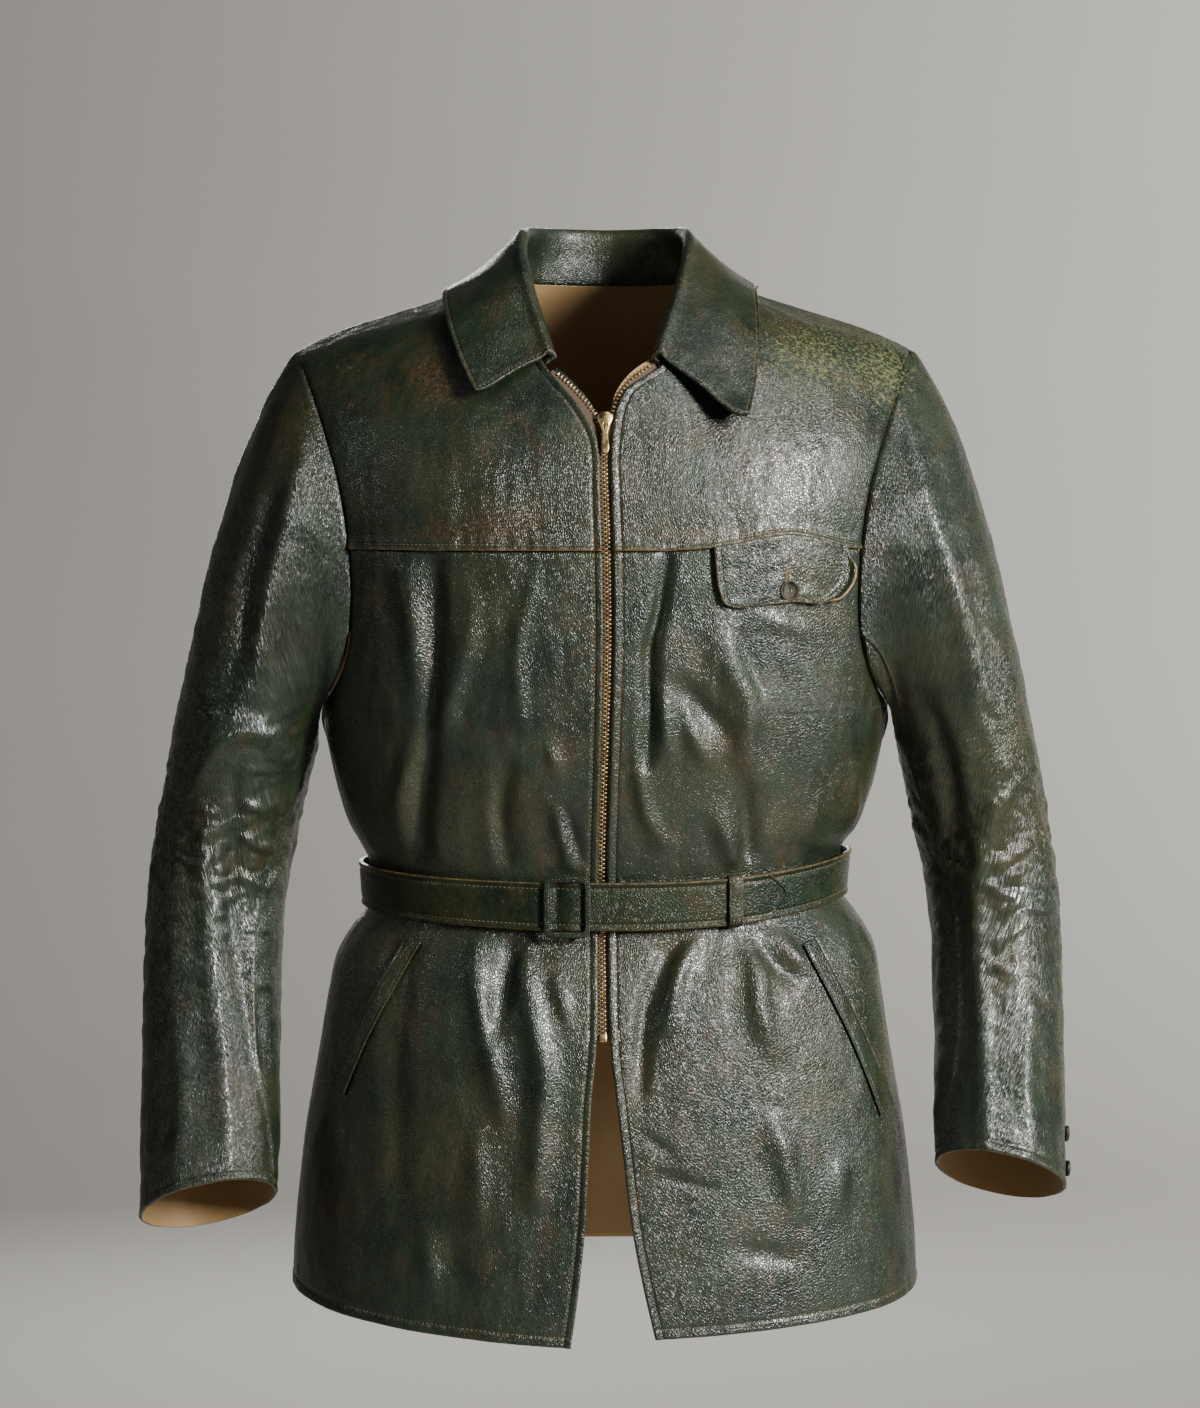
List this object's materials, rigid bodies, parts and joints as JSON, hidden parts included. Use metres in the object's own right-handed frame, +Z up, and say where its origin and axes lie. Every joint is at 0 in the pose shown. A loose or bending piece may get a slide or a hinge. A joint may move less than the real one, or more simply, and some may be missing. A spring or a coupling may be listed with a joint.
{
  "type": "leather jacket",
  "caption": "Belted hip-length leather jacket, held open as worn: brass front zip, pointed collar, chest yoke, flap pocket, slash pockets, covered belt buckle, buttoned cuffs.",
  "frame": {"origin": "midway between the neck points of the shoulder seams, where the wearer's neck and shoulders hold the jacket", "axes": "+X to the wearer's left, -Y to the front, +Z up"},
  "size_m": [0.6727, 0.2886, 0.7926],
  "materials": {
    "leather_green": "worn dark green leather with tan edges, semi-gloss",
    "lining_tan": "tan lining cloth, matte",
    "zip_tape": "woven cotton tape, matte",
    "zip_brass": "worn brass",
    "button_horn": "dark horn-like, satin"
  },
  "bodies": {
    "jacket": {"front_yoke_left": "leather_green", "front_yoke_right": "leather_green", "front_left": "leather_green", "front_right": "leather_green", "back": "leather_green", "sleeve_upper_left": "leather_green", "sleeve_upper_right": "leather_green", "sleeve_under_left": "leather_green", "sleeve_under_right": "leather_green", "collar": "leather_green", "zip_tape_left": "zip_tape", "zip_tape_right": "zip_tape", "zip_slider": "zip_brass", "neck_facing_left": "lining_tan", "neck_facing_right": "leather_green", "pocket_flap": "leather_green", "flap_button": "button_horn", "pocket_welt_left": "leather_green", "pocket_welt_right": "leather_green", "belt": "leather_green", "belt_keeper": "leather_green", "belt_buckle": "leather_green", "cuff_button_left_1": "button_horn", "cuff_button_left_2": "button_horn", "cuff_button_right_1": "button_horn", "cuff_button_right_2": "button_horn"},
    "pull": {"zip_pull": "zip_brass"}
  },
  "joints": [
    {"name": "pull_hinge", "type": "hinge", "parent": "jacket", "child": "pull", "pos_m": [0, -0.12168, -0.10091], "axis": [-1, 0, 0], "range_deg": [0, 130]}
  ]
}
